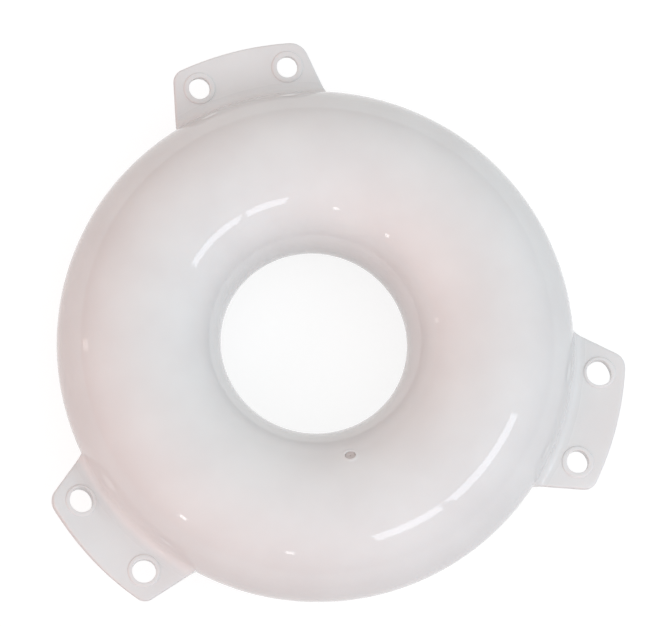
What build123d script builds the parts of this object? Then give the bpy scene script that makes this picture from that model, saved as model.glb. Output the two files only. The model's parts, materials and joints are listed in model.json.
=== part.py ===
from build123d import *
from math import cos, radians, sin, sqrt, tan
import os

# Inflated ring fender of soft PVC: a sealed tube ring with three flat rope lugs, moulded in
# one piece, and a rubber valve plug in the tube's upper face. The ring is one closed solid
# of its blown-up shape.
# Lengths are in millimetres and angles in degrees. The origin is the ring's centre in the
# plane of the lugs, the ring's axis is +Z, and the first lug points along +Y.

# Tube ring
ring_outer_diameter = 500.0
tube_diameter = 160.0

# Lugs, flat plates in the ring's middle plane
lug_count = 3
first_lug_angle = 90.0
lug_projection = 51.0  # from the tube's outer face to the curved tip
lug_tip_width = 133.0  # across the tip's corners, before they are rounded
lug_side_lean = 11.2  # each side's lean towards the lug's centre line
lug_thickness = 8.0
lug_corner_radius = 12.0
lug_edge_radius = 2.0
lug_root_radius = 10.0  # hollow blend from the lug's faces into the tube
lug_root_overlap = 0.02  # how far the blend is let into the tube

# Rope eyelets, two in each lug, edged on both faces by a low flat bead
eyelet_diameter = 22.0
eyelet_spacing = 89.0
eyelet_tip_margin = 25.0  # from the circle through the eyelets to the lug's tip
bead_width = 4.5
bead_height = 1.5
bead_bevel = 1.0

# Valve seat: a bore with a low rim outside, which widens at its inner end
valve_angle = 268.0
valve_lean = 36.3  # from the tube's crown towards the ring's hole
valve_bore_diameter = 10.0
valve_bore_depth = 16.0
valve_rim_width = 2.4
valve_rim_height = 0.8
valve_rim_bevel = 0.5
valve_rim_foot = 2.0  # how far the rim is let into the tube

# Valve plug of rubber, held by its flange at the bore's inner end
plug_clearance = 0.05
plug_recess = 0.6
plug_flange_width = 2.5
plug_flange_thickness = 3.0
needle_hole_diameter = 1.6
needle_hole_depth = 12.0
needle_funnel_diameter = 4.0
needle_funnel_depth = 1.2

# Sizes that follow from those above
tube_radius = tube_diameter / 2
tube_circle_radius = ring_outer_diameter / 2 - tube_radius
lug_tip_radius = ring_outer_diameter / 2 + lug_projection
eyelet_circle_radius = lug_tip_radius - eyelet_tip_margin
eyelet_radius = eyelet_diameter / 2
valve_bore_radius = valve_bore_diameter / 2
flange_room_radius = valve_bore_radius + plug_flange_width


def lug_outline():
    # A lug seen along the ring's axis: straight sides that lean in, and a tip that is an
    # arc about the axis. It starts at the middle of the tube's section.
    half_tip = lug_tip_width / 2
    corner_reach = sqrt(lug_tip_radius**2 - half_tip**2)
    lean = tan(radians(lug_side_lean))
    half_root = half_tip + (corner_reach - tube_circle_radius) * lean
    half_end = half_tip - (lug_tip_radius - corner_reach) * lean
    sides = Polygon(
        (-half_root, tube_circle_radius),
        (half_root, tube_circle_radius),
        (half_end, lug_tip_radius),
        (-half_end, lug_tip_radius),
        align=None,
    )
    outline = sides & Circle(lug_tip_radius)
    tip_corners = outline.vertices().sort_by(Axis.Y)[-2:]
    return fillet(tip_corners, lug_corner_radius)


def flanged_tube():
    # The tube with a flange all round it, which a hollow fillet blends in on each face.
    # A lug is the stretch of it that lies inside the lug's outline.
    flange_width = lug_tip_radius - tube_circle_radius
    tube_section = Pos(tube_circle_radius, 0) * Circle(tube_radius - lug_root_overlap)
    flange_section = Rectangle(flange_width, lug_thickness, align=(Align.MIN, Align.CENTER))
    section = tube_section + Pos(tube_circle_radius, 0) * flange_section
    root_corners = section.vertices().group_by(Axis.X)[0]
    section = fillet(root_corners, lug_root_radius)
    return revolve(Plane.XZ * section, Axis.Z)


def lug_plate():
    # The lug along +Y. The edge of each flat face is rounded, apart from the arc at its
    # root, which is the edge nearest to the ring's axis.
    plate = flanged_tube() & extrude(lug_outline(), tube_radius, both=True)
    flat_faces = plate.faces().filter_by(Axis.Z)
    rim = [edge for face in flat_faces for edge in face.edges().sort_by(Axis.Y)[1:]]
    return fillet(rim, lug_edge_radius)


def eyelet_boss():
    # One disc through the lug, whose two ends are the beads
    boss = Cylinder(eyelet_radius + bead_width, lug_thickness + 2 * bead_height)
    return chamfer(boss.edges().filter_by(GeomType.CIRCLE), bead_bevel)


def rope_lug():
    # The eyelets stand on one circle about the ring's axis.
    half_spacing = eyelet_spacing / 2
    reach = sqrt(eyelet_circle_radius**2 - half_spacing**2)
    boss = eyelet_boss()
    drill = Cylinder(eyelet_radius, 2 * lug_thickness + 2 * bead_height)
    lug = lug_plate()
    for side in (-1, 1):
        eyelet = Pos(side * half_spacing, reach)
        lug = lug + eyelet * boss - eyelet * drill
    return lug


def valve_place():
    # On the tube's outer face, with local Z along the valve's axis and out of the wall
    radial = tube_circle_radius - tube_radius * sin(radians(valve_lean))
    height = tube_radius * cos(radians(valve_lean))
    return Rot(0, 0, valve_angle) * Pos(radial, 0, height) * Rot(0, -valve_lean, 0)


def valve_rim():
    # A low boss, whose foot is let into the tube
    boss = Cylinder(
        valve_bore_radius + valve_rim_width,
        valve_rim_foot + valve_rim_height,
        align=(Align.CENTER, Align.CENTER, Align.MIN),
    )
    return Pos(0, 0, -valve_rim_foot) * chamfer(boss.edges().group_by(Axis.Z)[-1], valve_rim_bevel)


def valve_pocket():
    # The plug's bore, open to the outside, and the wider room for the plug's flange
    bore = Cylinder(valve_bore_radius, 2 * valve_bore_depth)
    flange_room = Cylinder(
        flange_room_radius,
        plug_flange_thickness + 2 * plug_clearance,
        align=(Align.CENTER, Align.CENTER, Align.MAX),
    )
    return bore + Pos(0, 0, -valve_bore_depth) * flange_room


def ring_body():
    # The torus starts and ends at the valve's angle, so that its seam is under the rim.
    body = Rot(0, 0, valve_angle) * Torus(tube_circle_radius, tube_radius)
    lug = rope_lug()
    for index in range(lug_count):
        body += Rot(0, 0, first_lug_angle - 90 + index * 360 / lug_count) * lug
    body += valve_place() * valve_rim()
    return body - valve_place() * valve_pocket()


def valve_plug():
    # Turned about the valve's axis: a stem in the bore, a flange in the room at its end, and
    # a funnel that leads the inflating needle into its blind hole
    stem = valve_bore_radius - plug_clearance
    flange = flange_room_radius - plug_clearance
    head = -plug_recess
    shoulder = -valve_bore_depth - plug_clearance
    tail = shoulder - plug_flange_thickness
    profile = Polyline(
        (0, head - needle_hole_depth),
        (needle_hole_diameter / 2, head - needle_hole_depth),
        (needle_hole_diameter / 2, head - needle_funnel_depth),
        (needle_funnel_diameter / 2, head),
        (stem, head),
        (stem, shoulder),
        (flange, shoulder),
        (flange, tail),
        (0, tail),
        close=True,
    )
    return revolve(Plane.XZ * make_face(profile), Axis.Z)


pieces = {
    "ring_body": ring_body(),
    "valve_plug": valve_place() * valve_plug(),
}

os.makedirs("parts", exist_ok=True)
for node, piece in pieces.items():
    export_step(piece, f"parts/{node}.step")
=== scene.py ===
import bmesh
import bpy
import json
import math
from mathutils import Matrix, Quaternion, Vector, noise
from mathutils.geometry import delaunay_2d_cdt


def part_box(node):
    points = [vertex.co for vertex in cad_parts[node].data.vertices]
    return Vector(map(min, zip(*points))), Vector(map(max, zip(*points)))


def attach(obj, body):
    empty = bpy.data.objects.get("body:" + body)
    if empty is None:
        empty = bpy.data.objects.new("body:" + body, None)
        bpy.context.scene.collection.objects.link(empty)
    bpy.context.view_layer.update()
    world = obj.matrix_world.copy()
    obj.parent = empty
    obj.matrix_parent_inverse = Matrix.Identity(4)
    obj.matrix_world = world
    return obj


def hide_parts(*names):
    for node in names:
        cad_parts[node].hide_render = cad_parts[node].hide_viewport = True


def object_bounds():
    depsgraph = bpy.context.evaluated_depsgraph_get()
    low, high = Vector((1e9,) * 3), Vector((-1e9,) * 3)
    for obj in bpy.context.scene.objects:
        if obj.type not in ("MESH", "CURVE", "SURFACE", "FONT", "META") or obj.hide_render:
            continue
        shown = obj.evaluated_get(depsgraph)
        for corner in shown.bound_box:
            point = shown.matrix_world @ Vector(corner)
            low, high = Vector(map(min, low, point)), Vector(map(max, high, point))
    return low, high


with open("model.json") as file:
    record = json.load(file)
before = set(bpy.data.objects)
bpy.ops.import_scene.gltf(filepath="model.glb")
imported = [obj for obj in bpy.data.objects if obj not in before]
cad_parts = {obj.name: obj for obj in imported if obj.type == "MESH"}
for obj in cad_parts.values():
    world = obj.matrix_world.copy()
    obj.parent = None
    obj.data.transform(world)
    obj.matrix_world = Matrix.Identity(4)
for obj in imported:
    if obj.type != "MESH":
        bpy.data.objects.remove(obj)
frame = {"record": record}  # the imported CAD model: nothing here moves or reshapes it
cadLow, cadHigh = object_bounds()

# An inflated ring fender of glossy white soft PVC, lying on a pale floor. The ring's skin is one
# closed mesh, worked out in millimetres about the ring's centre and turned to metres at the end.
mm = 0.001


# Small helpers

def linearColour(hexColour):
    # sRGB hex to the linear values that the shaders take
    channels = [int(hexColour[i:i + 2], 16) / 255 for i in (1, 3, 5)]
    linear = [c / 12.92 if c <= 0.04045 else ((c + 0.055) / 1.055) ** 2.4 for c in channels]
    return (*linear, 1.0)


def between(a, b, share):
    return a + (b - a) * share


def smoothStep(low, high, value):
    t = min(1.0, max(0.0, (value - low) / (high - low)))
    return t * t * (3 - 2 * t)


def polar(radius, angle, z=0.0):
    return Vector((radius * math.cos(angle), radius * math.sin(angle), z))


# Sizes of the moulding, in millimetres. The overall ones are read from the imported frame.

ringLow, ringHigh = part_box("ring_body")
eyeletMount = next(m for m in frame["record"]["mounts"] if m["name"] == "first_lug_eyelets")

tube = {
    "radius": ringHigh.z / mm,
    "circle": -ringLow.y / mm - ringHigh.z / mm,  # from the ring's axis to the section's middle
    "sectionSteps": 112,
    "freeSteps": 84,  # round the ring, from one lug to the next
}

lug = {
    "tipRadius": ringHigh.y / mm,
    "tipWidth": 133.0,
    "sideLean": 11.2,  # degrees
    "thickness": 8.0,
    "edgeRadius": 2.0,
    "rootRadius": 10.0,
    "bendLength": 20.0,  # from the tube, over which a bend sets in
    "rootSteps": 9,
    "widthSteps": 36,
    "sideSteps": 6,  # from the middle plane to the top of the root
    "roundSteps": 4,
    "cornerSteps": 8,
    "faceSpacing": 6.0,  # of the points on the flat faces; the shares below are of this spacing
    "faceMargin": 0.45,  # kept clear along the edges
    "firstRow": 0.6,  # from the root
    "beadRings": 2,  # finer rings of points round each bead
    "beadRingGap": 0.42,
    "beadClearing": 1.1,  # of the even points, round a bead
}

eyelet = {
    "radius": eyeletMount["dims"]["hole_r_mm"],
    "halfSpacing": eyeletMount["dims"]["spacing_x_mm"] / 2,
    "reach": eyeletMount["pos_m"][1] / mm,
    "steps": 56,
    "boreSteps": 4,
    # the bead from its foot to the bore: distance from the bore, height over the lug's face
    "bead": [(4.75, 0.0), (4.62, 0.1), (4.46, 0.36), (4.3, 0.77), (4.0, 1.18), (3.5, 1.43),
             (2.9, 1.5), (1.4, 1.5), (0.55, 1.47), (0.18, 1.32), (0.0, 1.0)],
    "crown": 2.9,  # from the bore: nearer than this, the bead follows the trimmed bore
    "wobble": 0.16,  # of the trimmed bore
    "wobbleScale": 1.3,  # higher is quicker round the bore
    "cutSharpness": 3,  # higher makes the flatter stretch shorter
}

# No two lugs of the real ring are quite alike. Each has its angle and, for its counter-clockwise
# and its clockwise end in turn, how far the end is bent up in degrees, how much its side was
# trimmed back, and the radius of its corner. Each eyelet has its shift in the lug's plane, how
# much wider it was trimmed all round, how much less on one side (more, if below 0) and which way
# that side lies.
ropeLugs = [
    {"angle": 90.28, "bend": (8, 10), "trim": (0.0, 2.3), "corners": (12.5, 18.0), "eyelets": [
        {"shift": (-0.7, 1.15), "grow": -0.45, "cut": 0.3, "towards": 200},
        {"shift": (-0.4, 1.55), "grow": -0.55, "cut": 0.35, "towards": 60},
    ]},
    {"angle": 209.51, "bend": (0, 15), "trim": (-0.7, 0.0), "corners": (12.0, 17.0), "eyelets": [
        {"shift": (0.0, 0.3), "grow": 0.5, "cut": 0.4, "towards": 320},
        {"shift": (0.2, -1.2), "grow": 0.6, "cut": -1.7, "towards": 316},
    ]},
    {"angle": 330.3, "bend": (2, 0), "trim": (0.0, -1.0), "corners": (15.5, 12.5), "eyelets": [
        {"shift": (-0.8, -0.2), "grow": 1.6, "cut": 2.0, "towards": 130},
        {"shift": (1.1, 0.3), "grow": -0.4, "cut": -1.2, "towards": 200},
    ]},
]

valve = {
    "angle": 268.0,  # round the ring, in degrees
    "lean": 36.3,  # from the tube's crown towards the hole, in degrees
    "clearing": 22.0,  # the tube's grid is opened this far round the valve
    "rings": [16.0, 13.0, 10.8, 9.2],  # finer rings of points that fill it
    "steps": 48,
    "seatTries": 12,  # more than enough to settle a point on the tube
    # the rim and the plug's pocket: distance from the valve's axis, height over the tube
    "profile": [(8.3, None), (7.8, 0.03), (7.4, 0.14), (7.0, 0.27), (6.5, 0.34), (5.7, 0.36),
                (5.25, 0.28), (5.05, 0.1), (5.0, -0.2), (5.0, -5.0), (5.0, -16.0),
                (7.5, -16.0), (7.5, -19.1), (2.5, -19.1)],
    # the plug, from the end of its needle hole over its head down to its flange
    "plug": [(0.35, -9.0), (0.35, -0.95), (0.6, -0.72), (1.05, -0.46), (1.6, -0.3), (2.6, -0.22),
             (3.6, -0.22), (4.2, -0.3), (4.65, -0.52), (4.9, -1.0), (4.95, -3.0), (4.95, -16.05),
             (7.45, -16.05), (7.45, -19.05)],
}

unevenness = {
    "swell": 0.35,  # how far the soft skin draws in, at most
    "swellLength": 75.0,
    "holeShift": (-1.73, 1.44),  # the ring's hole isn't quite in the middle
    "lugWarp": 0.5,
    "lugWarpLength": 90.0,
    "warpSeed": (7, 3, 1),
    "valveCalm": 9.0,  # nothing moves this near the valve, so that the plug fits its pocket
    "swellFrom": 30.0,  # from the valve, where the swell is whole again
    "shiftFrom": 60.0,  # where the hole's shift is
}

meshing = {
    "weld": 0.004,  # mm, within which two corners become one
    "creaseAngle": 34.0,  # degrees, above which an edge is drawn sharp
}


# The shape of a lug, in its own plane: x across it, y away from the ring's axis

lean = math.radians(lug["sideLean"])
halfLug = lug["thickness"] / 2
cornerReach = math.sqrt(lug["tipRadius"] ** 2 - (lug["tipWidth"] / 2) ** 2)
sideDistance = lug["tipWidth"] / 2 * math.cos(lean) + cornerReach * math.sin(lean)
rootZ = halfLug + lug["rootRadius"]
rootX = tube["circle"] + math.sqrt((tube["radius"] + lug["rootRadius"]) ** 2 - rootZ ** 2)
rootBand = math.asin(rootZ / (tube["radius"] + lug["rootRadius"]))  # of the tube's section


def sideAngle(radius, inset=0.0):
    # where the lug's straight side, moved in by inset, crosses a circle about the ring's axis
    return math.asin((sideDistance - inset) / radius) - lean


def edgeInset(depth, edgeRadius):
    # how far a rounded edge stands in from the side, at a depth under the face
    if edgeRadius <= 0 or depth >= edgeRadius:
        return 0.0
    return edgeRadius - math.sqrt(edgeRadius ** 2 - (edgeRadius - depth) ** 2)


def tubePoint(angle, section):
    # section is 0 at the tube's outermost point and a quarter turn at its crown
    radius = tube["circle"] + tube["radius"] * math.cos(section)
    return polar(radius, angle, tube["radius"] * math.sin(section))


def rootRow(k):
    # radius and height of a row of the hollow blend, and the edge rounding that it has there
    share = k / lug["rootSteps"]
    turn = between(rootBand, math.pi / 2, share)
    radius = rootX - lug["rootRadius"] * math.cos(turn)
    return radius, rootZ - lug["rootRadius"] * math.sin(turn), lug["edgeRadius"] * share


def rootHalfAngle(trim):
    # from the lug's middle line to its side, where it leaves the tube
    return sideAngle(rootRow(0)[0], trim)


def edgeHeights(k):
    # heights down the lug's side, as shares of the height of its face: on the tube they follow
    # the tube's own rows, and at the plate they follow the rounded edge
    steps = lug["sideSteps"]
    curved = [math.sin(rootBand * (1 - j / steps)) / math.sin(rootBand) for j in range(steps + 1)]
    rounded = [
        1 - lug["edgeRadius"] * (1 - math.cos(math.pi / 2 * j / lug["roundSteps"])) / halfLug
        for j in range(lug["roundSteps"] + 1)
    ]
    rest = steps - lug["roundSteps"]
    rounded += [rounded[-1] * (1 - j / rest) for j in range(1, rest + 1)]
    return [between(a, b, k / lug["rootSteps"]) for a, b in zip(curved, rounded)]


def withMirror(upper):
    # a run of points from the upper face to the middle plane, carried on to the lower face
    return upper + [Vector((p.x, p.y, -p.z)) for p in reversed(upper[:-1])]


def lugPoint(radius, angle, z):
    # angle is from the lug's middle line, towards +x
    return Vector((radius * math.sin(angle), radius * math.cos(angle), z))


def rootSide(k, trim):
    # the right side of the lug, from face to face, at one row of the hollow blend
    radius, height, edgeRadius = rootRow(k)
    middle = between(tube["circle"] + tube["radius"], rootX, k / lug["rootSteps"])
    points = []
    for share in edgeHeights(k):
        z = height * share
        if k == 0:
            r = tubePoint(0, math.asin(z / tube["radius"])).x
            points.append(lugPoint(r, rootHalfAngle(trim), z))
            continue
        inset = edgeInset(height - z, edgeRadius) + trim
        r = between(middle, radius, share ** 2)
        points.append(lugPoint(r, sideAngle(r, inset), z))
    return withMirror(points)


def outlinePath(trim, cornerRadius):
    # the right half of the lug's outline past the blend: points with their outward directions
    reach = lug["tipRadius"] - cornerRadius
    turn = math.asin((sideDistance - trim - cornerRadius) / reach) - lean
    centre = Vector((reach * math.sin(turn), reach * math.cos(turn), 0))
    outward = Vector((math.cos(lean), math.sin(lean), 0))
    start = lugPoint(rootX, sideAngle(rootX, trim), 0)
    end = centre + outward * cornerRadius
    count = round((end - start).length / lug["faceSpacing"])
    path = [(start.lerp(end, i / count), outward) for i in range(1, count + 1)]
    for i in range(1, lug["cornerSteps"] + 1):
        a = between(lean, math.pi / 2 - turn, i / lug["cornerSteps"])
        direction = Vector((math.cos(a), math.sin(a), 0))
        path.append((centre + direction * cornerRadius, direction))
    count = round(lug["tipRadius"] * turn / lug["faceSpacing"])
    for i in range(1, count + 1):
        a = turn * (1 - i / count)
        path.append((lugPoint(lug["tipRadius"], a, 0), lugPoint(1, a, 0)))
    return path


def plateEdge(point, outward):
    # the rounded edge of the plate, from face to face, at one point of the outline
    points = []
    for share in edgeHeights(lug["rootSteps"]):
        inset = edgeInset(halfLug * (1 - share), lug["edgeRadius"])
        points.append(point - outward * inset + Vector((0, 0, halfLug * share)))
    return withMirror(points)


# Every face of the skin is listed by its corners, and the corners are welded at the end

skinFaces = []

def addRows(rows, place=lambda point: point):
    # quads between neighbouring rows of points
    for near, far in zip(rows, rows[1:]):
        for i in range(len(near) - 1):
            skinFaces.append([place(p) for p in (near[i], near[i + 1], far[i + 1], far[i])])


def mirrored(points, x=1, z=1):
    return [Vector((p.x * x, p.y, p.z * z)) for p in points]


def ringOf(radius, height, steps, centre=Vector((0, 0, 0))):
    # a closed row of points; radius is a number, or a function of the angle
    row = []
    for i in range(steps + 1):
        a = 2 * math.pi * (i % steps) / steps
        r = radius(a) if callable(radius) else radius
        row.append(centre + polar(r, a, height))
    return row


def boreRadius(trim, seed):
    # the eyelet's bore as it was trimmed: about round, with one flatter stretch
    def radius(angle):
        where = Vector((math.cos(angle), math.sin(angle), seed)) * eyelet["wobbleScale"]
        wobble = eyelet["wobble"] * noise.noise(where)
        toCut = max(0.0, math.cos(angle - math.radians(trim["towards"])))
        cut = trim["cut"] * toCut ** eyelet["cutSharpness"]
        return eyelet["radius"] + trim["grow"] + wobble - cut
    return radius


def beadRow(offset, height, bore, centre):
    # inside the crown the bead follows the trimmed bore, and outside it is a true circle
    def radius(angle):
        pull = max(0.0, 1 - offset / eyelet["crown"])
        return eyelet["radius"] + offset + (bore(angle) - eyelet["radius"]) * pull
    return ringOf(radius, halfLug + height, eyelet["steps"], centre)


def addEyelet(place, centre, trim, seed):
    bore = boreRadius(trim, seed)
    upper = [beadRow(offset, height, bore, centre) for offset, height in eyelet["bead"]]
    lower = [mirrored(row, z=-1) for row in upper]
    top, bottom = upper[-1], lower[-1]
    steps = eyelet["boreSteps"]
    wall = [[p.lerp(q, i / steps) for p, q in zip(top, bottom)] for i in range(steps + 1)]
    addRows(upper, place)
    addRows(wall, place)
    addRows(lower[::-1], place)
    return upper[0]


def insideLug(point, trims):
    # well inside the edges of the lug's flat face
    margin = lug["edgeRadius"] + lug["faceSpacing"] * lug["faceMargin"]
    radius = math.hypot(point.x, point.y)
    if not rootX + margin - lug["edgeRadius"] < radius < lug["tipRadius"] - margin:
        return False
    trim = trims[1] if point.x > 0 else trims[0]
    return math.atan2(abs(point.x), point.y) < sideAngle(radius, margin + trim)


def filledBetween(loops, inner):
    # triangles between the first loop and the loops inside it, through the inner points; their
    # corners are numbers in the joined list of all the points
    points, faces = [], []
    for loop in loops:
        faces.append(list(range(len(points), len(points) + len(loop))))
        points += loop
    flat = [Vector((p.x, p.y)) for p in points + inner]
    withoutHoles, tolerance = 2, 1e-6
    _, _, triangles, origins, _, _ = delaunay_2d_cdt(flat, [], faces, withoutHoles, tolerance)
    return [[origins[i][0] for i in triangle] for triangle in triangles]


def addLugFaces(place, border, beads, centres, trims):
    # both flat faces, filled between the border and the beads' feet
    loops = [border] + [bead[:-1] for bead in beads]
    inner = []
    footRadius = eyelet["radius"] + eyelet["bead"][0][0]
    step = lug["faceSpacing"]
    for i in range(1, lug["beadRings"] + 1):
        radius = footRadius + i * step * lug["beadRingGap"]
        for centre in centres:
            inner += ringOf(radius, 0, eyelet["steps"] // (2 * i), centre)[:-1]
    columns = math.ceil(lug["tipWidth"] / step)  # past both sides, and cut back below
    for row in range(int((lug["tipRadius"] - rootX) / step)):
        for column in range(-columns, columns + 1):
            x = (column + 0.5 * (row % 2)) * step
            p = Vector((x, rootX + (row + lug["firstRow"]) * step, 0))
            if min((p - c).length for c in centres) > footRadius + step * lug["beadClearing"]:
                inner.append(p)
    inner = [p for p in inner if insideLug(p, trims)]
    points = sum(loops, []) + inner
    for triangle in filledBetween(loops, inner):
        for side in (halfLug, -halfLug):
            skinFaces.append([place(Vector((points[i].x, points[i].y, side))) for i in triangle])


def bentUp(point, bend):
    # the lug turns up about its root, by the angles that its two ends are bent
    radius = math.hypot(point.x, point.y)
    rootFace = tube["circle"] + tube["radius"]
    reach = max(0.0, radius - rootFace)
    across = smoothStep(-lug["tipWidth"] / 2, lug["tipWidth"] / 2, point.x)
    full = math.radians(between(bend[0], bend[1], across))
    turn = full * smoothStep(0, lug["bendLength"], reach)
    bentRadius = radius - reach + reach * math.cos(turn) - point.z * math.sin(turn)
    flat = Vector((point.x, point.y, 0)) * (bentRadius / radius)
    return flat + Vector((0, 0, reach * math.sin(turn) + point.z * math.cos(turn)))


def addLug(ropeLug):
    alongY = 90  # degrees: the way that a lug points in its own plane
    turned = Matrix.Rotation(math.radians(ropeLug["angle"] - alongY), 4, "Z")

    def place(point):
        return turned @ bentUp(point, ropeLug["bend"])
    steps = lug["widthSteps"]
    trims = ropeLug["trim"]
    blend = []
    for k in range(lug["rootSteps"] + 1):
        radius, height, edgeRadius = rootRow(k)
        left, right = (sideAngle(radius, edgeRadius + trim) for trim in trims)
        angles = [between(-left, right, i / steps) for i in range(steps + 1)]
        blend.append([lugPoint(radius, angle, height) for angle in angles])
    addRows(blend, place)
    addRows([mirrored(row, z=-1) for row in blend], place)

    borders = []
    for side, trim, cornerRadius in zip((-1, 1), trims, ropeLug["corners"]):
        root = [rootSide(k, trim) for k in range(lug["rootSteps"] + 1)]
        path = outlinePath(trim, cornerRadius)
        rim = [root[-1]] + [plateEdge(point, outward) for point, outward in path]
        for rows in (root, rim):
            addRows([mirrored(row, x=side) for row in rows], place)
        borders.append([mirrored(row[:1], x=side)[0] for row in rim])
    left, right = borders
    border = blend[-1] + right[1:] + left[-2:0:-1]
    centres, beads = [], []
    for side, trim in zip((-1, 1), ropeLug["eyelets"]):
        centre = Vector((side * eyelet["halfSpacing"], eyelet["reach"], 0))
        centre += Vector((*trim["shift"], 0))
        centres.append(centre)
        seed = ropeLug["angle"] * 0.1 + side  # its own for each eyelet
        beads.append(addEyelet(place, centre, trim, seed))
    addLugFaces(place, border, beads, centres, trims)


# The tube, opened where the lugs grow out of it and round the valve

valveTurn = math.radians(valve["angle"])
valveSection = math.pi / 2 + math.radians(valve["lean"])
valveMiddle = tubePoint(valveTurn, valveSection)
valvePlace = (
    Matrix.Translation(valveMiddle)
    @ Matrix.Rotation(valveTurn, 4, "Z")
    @ Matrix.Rotation(-math.radians(valve["lean"]), 4, "Y")
)


def tubeDepth(point):
    # distance from the tube's surface, positive outside
    return math.hypot(math.hypot(point.x, point.y) - tube["circle"], point.z) - tube["radius"]


def onTube(radius, angle):
    # the point of the tube's surface over one point of the valve's own plane
    height = 0.0
    for _ in range(valve["seatTries"]):
        height -= tubeDepth(valvePlace @ polar(radius, angle, height))
    return valvePlace @ polar(radius, angle, height)


def tubeAngles():
    # the columns of the tube's grid, each with whether the stretch after it is under a lug
    spans = []
    for ropeLug in ropeLugs:
        middle = math.radians(ropeLug["angle"])
        left, right = (rootHalfAngle(trim) for trim in ropeLug["trim"])
        spans.append((middle - right, middle + left))
    starts = [low for low, _ in spans[1:]] + [spans[0][0] + 2 * math.pi]
    angles = []
    for (low, high), following in zip(spans, starts):
        across, free = lug["widthSteps"], tube["freeSteps"]
        angles += [(between(low, high, i / across), i < across) for i in range(across + 1)]
        angles += [(between(high, following, i / free), False) for i in range(1, free)]
    return angles


def sectionAngles():
    steps = lug["sideSteps"]
    angles = [rootBand * i / steps for i in range(-steps, steps)]
    free = 2 * math.pi - 2 * rootBand
    angles += [rootBand + free * i / tube["sectionSteps"] for i in range(tube["sectionSteps"])]
    return angles


def surfaceMap(point):
    # the tube's surface round the valve, laid flat
    turn = math.atan2(point.y, point.x) % (2 * math.pi) - valveTurn
    section = math.atan2(point.z, math.hypot(point.x, point.y) - tube["circle"]) - valveSection
    return Vector((turn * math.hypot(valveMiddle.x, valveMiddle.y), section * tube["radius"]))


def addTube():
    columns = tubeAngles()
    rows = sectionAngles()
    grid = [[tubePoint(turn, section) for section in rows] for turn, _ in columns]
    cleared = set()
    for c in range(len(columns)):
        for r in range(len(rows)):
            cell = [
                grid[c][r],
                grid[c][(r + 1) % len(rows)],
                grid[(c + 1) % len(columns)][(r + 1) % len(rows)],
                grid[(c + 1) % len(columns)][r],
            ]
            underLug = columns[c][1] and r < 2 * lug["sideSteps"]
            if underLug:
                continue
            if min((p - valveMiddle).length for p in cell) < valve["clearing"]:
                cleared.add((c, r))
                continue
            skinFaces.append(cell)
    addValveSurround(grid, cleared)


def addValveSurround(grid, cleared):
    # fills the opened stretch of the grid down to the rim's foot
    edges = set()
    for c, r in cleared:
        corners = [(c, r), (c, r + 1), (c + 1, r + 1), (c + 1, r)]
        edges.update(zip(corners, corners[1:] + corners[:1]))
    # an edge that two cleared cells share, one in each direction, is inside the opening
    nextCorner = {a: b for a, b in edges if (b, a) not in edges}
    corner = min(nextCorner)
    opening = [corner]
    while nextCorner[corner] != opening[0]:
        corner = nextCorner[corner]
        opening.append(corner)
    border = [grid[c][r] for c, r in opening]
    steps = valve["steps"]
    foot = [onTube(valve["profile"][0][0], 2 * math.pi * i / steps) for i in range(steps)]
    inner = []
    for radius in valve["rings"]:
        inner += [onTube(radius, 2 * math.pi * (i + 0.5) / steps) for i in range(steps)]
    points = border + foot + inner
    mapped = [[surfaceMap(p) for p in run] for run in (border, foot, inner)]
    for triangle in filledBetween(mapped[:2], mapped[2]):
        skinFaces.append([points[i] for i in triangle])
    rows = [foot + foot[:1]]
    for radius, height in valve["profile"][1:]:
        rows.append([valvePlace @ p for p in ringOf(radius, height, steps)])
    addRows(rows)
    skinFaces.append(rows[-1][:-1])


def addUnevenness(mesh):
    # the soft skin is a little uneven, and its lugs aren't quite flat
    for vertex in mesh.verts:
        p = vertex.co
        radius = math.hypot(p.x, p.y)
        middle = Vector((p.x, p.y, 0)) * (tube["circle"] / radius)
        inward = (middle - p).normalized()
        fromValve = (p - valveMiddle).length
        swells = smoothStep(unevenness["valveCalm"], unevenness["swellFrom"], fromValve)
        shifts = smoothStep(unevenness["valveCalm"], unevenness["shiftFrom"], fromValve)
        swell = 0.5 + 0.5 * noise.noise(p / unevenness["swellLength"])
        warp = noise.noise(p / unevenness["lugWarpLength"] + Vector(unevenness["warpSeed"]))
        outOnLug = smoothStep(rootX, lug["tipRadius"], radius)
        # 1 on the side of the tube that faces the hole, and 0 on its outer side
        facesHole = 0.5 - 0.5 * (radius - tube["circle"]) / (middle - p).length
        holeShift = Vector((*unevenness["holeShift"], 0)) * (facesHole * shifts)
        vertex.co = p + inward * (unevenness["swell"] * swell * swells) + holeShift
        vertex.co.z += unevenness["lugWarp"] * warp * outOnLug


def finished(mesh, name):
    # sharp edges marked, turned to metres, and put into the scene
    bmesh.ops.recalc_face_normals(mesh, faces=mesh.faces)
    openEdges = sum(1 for edge in mesh.edges if not edge.is_manifold)
    crease = math.radians(meshing["creaseAngle"])
    for edge in mesh.edges:
        edge.smooth = edge.is_manifold and edge.calc_face_angle() < crease
    for face in mesh.faces:
        face.smooth = True
    mesh.transform(Matrix.Scale(mm, 4))
    data = bpy.data.meshes.new(name)
    mesh.to_mesh(data)
    mesh.free()
    piece = bpy.data.objects.new(name, data)
    bpy.context.scene.collection.objects.link(piece)
    points, faces = len(data.vertices), len(data.polygons)
    print(name + ":", points, "points,", faces, "faces,", openEdges, "open edges")
    return piece


def buildSkin():
    addTube()
    for ropeLug in ropeLugs:
        addLug(ropeLug)
    mesh = bmesh.new()
    for corners in skinFaces:
        mesh.faces.new([mesh.verts.new(p) for p in corners])
    bmesh.ops.remove_doubles(mesh, verts=mesh.verts, dist=meshing["weld"])
    addUnevenness(mesh)
    return finished(mesh, "ring_skin")


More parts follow.
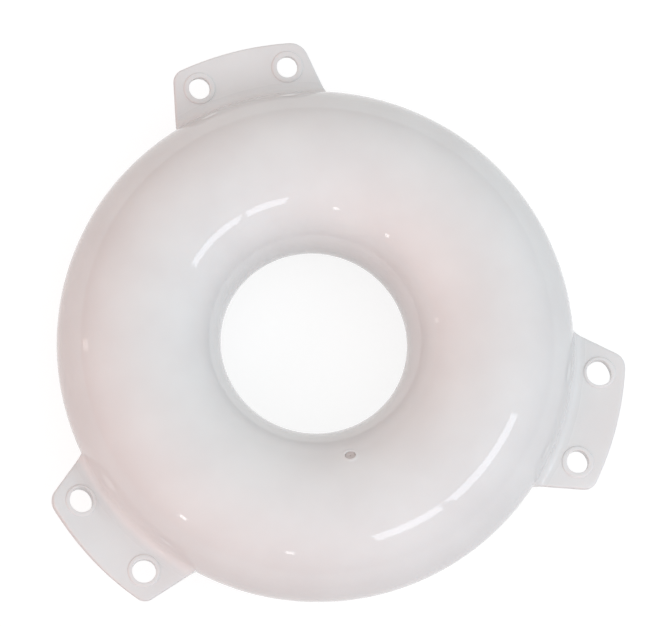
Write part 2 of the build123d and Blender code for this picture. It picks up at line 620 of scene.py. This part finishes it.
def buildPlug():
    mesh = bmesh.new()
    rows = []
    for radius, height in valve["plug"]:
        ring = ringOf(radius, height, valve["steps"])[:-1]
        rows.append([mesh.verts.new(valvePlace @ p) for p in ring])
    for near, far in zip(rows, rows[1:]):
        for i in range(len(near)):
            mesh.faces.new([near[i - 1], near[i], far[i], far[i - 1]])
    mesh.faces.new(rows[0])
    mesh.faces.new(rows[-1])
    return finished(mesh, "valve_plug_skin")


# Materials

def addNode(owner, kind, settings, links):
    # one node of a material or of the world: its settings by attribute, or by the name or number
    # of an input, and its links as input to output socket
    node = owner.node_tree.nodes.new(kind)
    for name, value in settings.items():
        if isinstance(name, int) or name in node.inputs:
            node.inputs[name].default_value = value
        else:
            setattr(node, name, value)
    for name, socket in links.items():
        owner.node_tree.links.new(socket, node.inputs[name])
    return node


def newMaterial(name):
    material = bpy.data.materials.new(name)
    material.use_nodes = True
    material.node_tree.nodes.clear()
    return material


softPvcLook = {
    "light": "#EAE9E8",
    "shade": "#E6E4E3",
    "cloudSize": 60.0,  # mm, of the faint clouds in the colour
    "cloudSpan": (0.35, 0.65),  # of the noise, from all shade to all light
    "roughness": (0.03, 0.06),  # where it was handled least and most
    "handlingSize": 28.0,  # mm, of the patches that hands and packing have dulled
    "handlingSpan": (0.35, 0.7),
    "ripple": 14.0,  # mm, of the skin's slow ripple
    "rippleHeight": 0.15,  # mm
    "rippleStrength": 0.35,
    "peel": 1.6,  # mm: real orange peel is about 0.5, drawn coarser so that it shows
    "peelHeight": 0.02,  # mm
    "peelStrength": 0.2,
    "lugDull": 0.26,  # roughness added on the lugs, which ropes and hands have dulled
    "lugStart": (252.0, 262.0),  # mm from the ring's axis, where the lugs' dulling sets in
    "ior": 1.53,
    "milkiness": 0.12,  # the share of the light that goes in
    "milkDepth": 2.5,  # mm
    "milkTint": (1.0, 0.8, 0.7),  # red light goes a little deeper
}


def softPvc():
    # Soft PVC, moulded against a polished tool: a milky white that light enters a little, under a
    # glossy skin. It gives long clean highlights with slightly uneven edges.
    look = softPvcLook
    material = newMaterial("softPvcMoulded")
    where = addNode(material, "ShaderNodeTexCoord", {}, {})
    position = where.outputs["Object"]

    # its colour, in faint clouds
    clouds = addNode(material, "ShaderNodeTexNoise",
                     {"Scale": 1 / (look["cloudSize"] * mm), "Detail": 3.0}, {"Vector": position})
    colour = addNode(material, "ShaderNodeValToRGB", {}, {"Fac": clouds.outputs["Fac"]})
    ends = zip(colour.color_ramp.elements, look["cloudSpan"], (look["shade"], look["light"]))
    for end, place, shade in ends:
        end.position = place
        end.color = linearColour(shade)

    # its gloss, duller in handled patches and on the lugs
    handling = addNode(material, "ShaderNodeTexNoise",
                       {"Scale": 1 / (look["handlingSize"] * mm), "Detail": 4.0, "Roughness": 0.6},
                       {"Vector": position})
    gloss = addNode(material, "ShaderNodeMapRange",
                    {"From Min": look["handlingSpan"][0], "From Max": look["handlingSpan"][1],
                     "To Min": look["roughness"][0], "To Max": look["roughness"][1]},
                    {"Value": handling.outputs["Fac"]})
    level = addNode(material, "ShaderNodeVectorMath", {"operation": "MULTIPLY", 1: (1, 1, 0)},
                    {0: position})
    reach = addNode(material, "ShaderNodeVectorMath", {"operation": "LENGTH"},
                    {0: level.outputs[0]})
    onLug = addNode(material, "ShaderNodeMapRange",
                    {"From Min": look["lugStart"][0] * mm, "From Max": look["lugStart"][1] * mm},
                    {"Value": reach.outputs["Value"]})
    dulled = addNode(material, "ShaderNodeMath", {"operation": "MULTIPLY_ADD", 1: look["lugDull"]},
                     {0: onLug.outputs["Result"], 2: gloss.outputs["Result"]})

    # its slow ripple, with the finer orange peel over it
    ripple = addNode(material, "ShaderNodeTexNoise",
                     {"Scale": 1 / (look["ripple"] * mm), "Detail": 2.0}, {"Vector": position})
    rippleBump = addNode(material, "ShaderNodeBump",
                         {"Strength": look["rippleStrength"],
                          "Distance": look["rippleHeight"] * mm},
                         {"Height": ripple.outputs["Fac"]})
    peel = addNode(material, "ShaderNodeTexNoise",
                   {"Scale": 1 / (look["peel"] * mm), "Detail": 2.0}, {"Vector": position})
    peelBump = addNode(material, "ShaderNodeBump",
                       {"Strength": look["peelStrength"], "Distance": look["peelHeight"] * mm},
                       {"Height": peel.outputs["Fac"], "Normal": rippleBump.outputs["Normal"]})

    shader = addNode(material, "ShaderNodeBsdfPrincipled",
                     {"IOR": look["ior"], "Metallic": 0.0, "Subsurface Weight": look["milkiness"],
                      "Subsurface Scale": look["milkDepth"] * mm,
                      "Subsurface Radius": look["milkTint"]},
                     {"Base Color": colour.outputs["Color"], "Roughness": dulled.outputs[0],
                      "Normal": peelBump.outputs["Normal"]})
    addNode(material, "ShaderNodeOutputMaterial", {}, {"Surface": shader.outputs["BSDF"]})
    return material


valveRubberLook = {
    "light": "#D3CBC8",
    "shade": "#C4BBB8",
    "grain": 0.8,  # mm
    "grainHeight": 0.05,  # mm
    "grainStrength": 0.3,
    "ior": 1.52,
    "roughness": 0.62,
}


def valveRubber():
    # Natural rubber, moulded and dull: a warm grey that hardly shines beside the PVC
    look = valveRubberLook
    material = newMaterial("valveRubberMoulded")
    where = addNode(material, "ShaderNodeTexCoord", {}, {})
    grain = addNode(material, "ShaderNodeTexNoise",
                    {"Scale": 1 / (look["grain"] * mm), "Detail": 3.0},
                    {"Vector": where.outputs["Object"]})
    colour = addNode(material, "ShaderNodeValToRGB", {}, {"Fac": grain.outputs["Fac"]})
    colour.color_ramp.elements[0].color = linearColour(look["shade"])
    colour.color_ramp.elements[1].color = linearColour(look["light"])
    bump = addNode(material, "ShaderNodeBump",
                   {"Strength": look["grainStrength"], "Distance": look["grainHeight"] * mm},
                   {"Height": grain.outputs["Fac"]})
    shader = addNode(material, "ShaderNodeBsdfPrincipled",
                     {"IOR": look["ior"], "Metallic": 0.0, "Roughness": look["roughness"]},
                     {"Base Color": colour.outputs["Color"], "Normal": bump.outputs["Normal"]})
    addNode(material, "ShaderNodeOutputMaterial", {}, {"Surface": shader.outputs["BSDF"]})
    return material


# Floor, light and camera

studio = {
    "floorColour": "#8C8C8C",  # a grey, so that little light comes back up from it
    "floorGlow": 0.84,  # added where the camera or a reflection sees the floor, to make it white
    "floorSize": 30.0,
    "sky": [
        # soft light round a direction: its turn and height in degrees, how tightly it is
        # gathered, its colour and its strength
        (0.0, 90.0, 1.0, "#D8FAFF", 0.44),
        (-13.8, 20.0, 2.0, "#F7F6FF", 0.53),
        (46.2, 20.0, 2.0, "#FFFAF6", 0.415),
        (106.2, 20.0, 2.0, "#FFE6D8", 0.24),
        (166.2, 20.0, 2.0, "#FFCFCA", 0.635),
        (226.2, 20.0, 2.0, "#FFDED7", 0.74),
        (286.2, 20.0, 2.0, "#FAFBFF", 0.42),
    ],
    "lamps": [
        # name, turn and height of its direction in degrees, distance, width and height in
        # metres, brightness, colour. The strips draw the long highlights, with a gap between
        # them, and the spots the short ones.
        ("stripLeft", -70.6, 42.0, 2.2, 0.66, 0.34, 3.7, "#EEF4FF"),
        ("stripRight", -39.6, 42.0, 2.2, 0.95, 0.34, 3.7, "#EEF4FF"),
        ("spotBack", -144.0, 18.0, 2.2, 0.10, 0.16, 6.0, "#FFFFFF"),
        ("spotLeft", -110.0, 29.0, 2.2, 0.10, 0.12, 5.0, "#FFFFFF"),
        ("spotWarm", 159.0, 9.0, 2.2, 0.10, 0.30, 2.0, "#FFF2EE"),
    ],
}


def studioFloor():
    # Matt backdrop paper: it shows a soft shadow and no shine
    bpy.ops.mesh.primitive_plane_add(size=studio["floorSize"], location=(0, 0, cadLow.z))
    floor = bpy.context.object
    floor.name = "studio_floor"
    material = newMaterial("paperFloor")
    paper = addNode(material, "ShaderNodeBsdfDiffuse",
                    {"Color": linearColour(studio["floorColour"])}, {})
    path = addNode(material, "ShaderNodeLightPath", {}, {})
    seen = path.outputs["Is Camera Ray"]
    for ray in ("Is Glossy Ray", "Is Transmission Ray"):
        seen = addNode(material, "ShaderNodeMath", {"operation": "MAXIMUM"},
                       {0: seen, 1: path.outputs[ray]}).outputs[0]
    strength = addNode(material, "ShaderNodeMath",
                       {"operation": "MULTIPLY", 1: studio["floorGlow"]}, {0: seen})
    glow = addNode(material, "ShaderNodeEmission", {"Color": linearColour("#FFFFFF")},
                   {"Strength": strength.outputs[0]})
    both = addNode(material, "ShaderNodeAddShader", {}, {0: paper.outputs[0], 1: glow.outputs[0]})
    addNode(material, "ShaderNodeOutputMaterial", {}, {"Surface": both.outputs[0]})
    floor.data.materials.append(material)


def studioWorld():
    # soft light from above and from all round the studio, warmer on the left
    world = bpy.data.worlds.new("studioWorld")
    bpy.context.scene.world = world
    world.use_nodes = True
    world.node_tree.nodes.clear()
    where = addNode(world, "ShaderNodeTexCoord", {}, {})
    total = None
    for turn, rise, spread, colour, strength in studio["sky"]:
        rise = math.radians(rise)
        middle = polar(math.cos(rise), math.radians(turn), math.sin(rise))
        facing = addNode(world, "ShaderNodeVectorMath", {"operation": "DOT_PRODUCT", 1: middle},
                         {0: where.outputs["Generated"]})
        front = addNode(world, "ShaderNodeMath", {"operation": "MAXIMUM", 1: 0.0},
                        {0: facing.outputs["Value"]})
        lobe = addNode(world, "ShaderNodeMath", {"operation": "POWER", 1: spread},
                       {0: front.outputs[0]})
        light = [channel * strength for channel in linearColour(colour)[:3]]
        tinted = addNode(world, "ShaderNodeVectorMath", {"operation": "SCALE", 0: light},
                         {"Scale": lobe.outputs[0]})
        if total:
            tinted = addNode(world, "ShaderNodeVectorMath", {"operation": "ADD"},
                             {0: total, 1: tinted.outputs[0]})
        total = tinted.outputs[0]
    sky = addNode(world, "ShaderNodeBackground", {"Strength": 1.0}, {"Color": total})
    addNode(world, "ShaderNodeOutputWorld", {}, {"Surface": sky.outputs[0]})


def studioLamps():
    for name, turn, rise, distance, width, height, brightness, colour in studio["lamps"]:
        light = bpy.data.lights.new(name, "AREA")
        light.shape = "RECTANGLE"
        light.size, light.size_y = width, height
        light.energy = brightness * math.pi * width * height  # as bright whatever its size
        light.color = linearColour(colour)[:3]
        lamp = bpy.data.objects.new(name, light)
        bpy.context.scene.collection.objects.link(lamp)
        turn, rise = math.radians(turn), math.radians(rise)
        direction = polar(math.cos(rise), turn, math.sin(rise))
        lamp.location = direction * distance
        lamp.rotation_mode = "QUATERNION"
        lamp.rotation_quaternion = (-direction).to_track_quat("-Z", "Y")


view = {
    "place": (-0.36053, -0.54514, 3.00011),
    "aim": (0.01538, 0.02676, 0.00011),
    "roll": 18.817,  # degrees
    "lens": 176.47,  # mm
    "sensor": 36.0,  # mm
    "farthest": 100.0,  # that the camera sees, past the floor's edge
}


def studioCamera():
    data = bpy.data.cameras.new("camera")
    data.lens = view["lens"]
    data.sensor_width = view["sensor"]
    data.clip_end = view["farthest"]
    camera = bpy.data.objects.new("camera", data)
    bpy.context.scene.collection.objects.link(camera)
    place, aim = Vector(view["place"]), Vector(view["aim"])
    camera.location = place
    camera.rotation_mode = "QUATERNION"
    upright = (aim - place).to_track_quat("-Z", "Y")
    camera.rotation_quaternion = upright @ Quaternion((0, 0, 1), math.radians(view["roll"]))
    bpy.context.scene.camera = camera


skin = buildSkin()
skin.data.materials.append(softPvc())
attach(skin, "root")
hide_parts("ring_body")

plug = buildPlug()
plug.data.materials.append(valveRubber())
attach(plug, "root")
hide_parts("valve_plug")
print("materials: moulded soft PVC and moulded valve rubber")

studioFloor()
studioWorld()
studioLamps()
studioCamera()
bpy.context.scene.view_settings.view_transform = "Standard"
print("studio: floor, world,", len(studio["lamps"]), "lamps and camera")
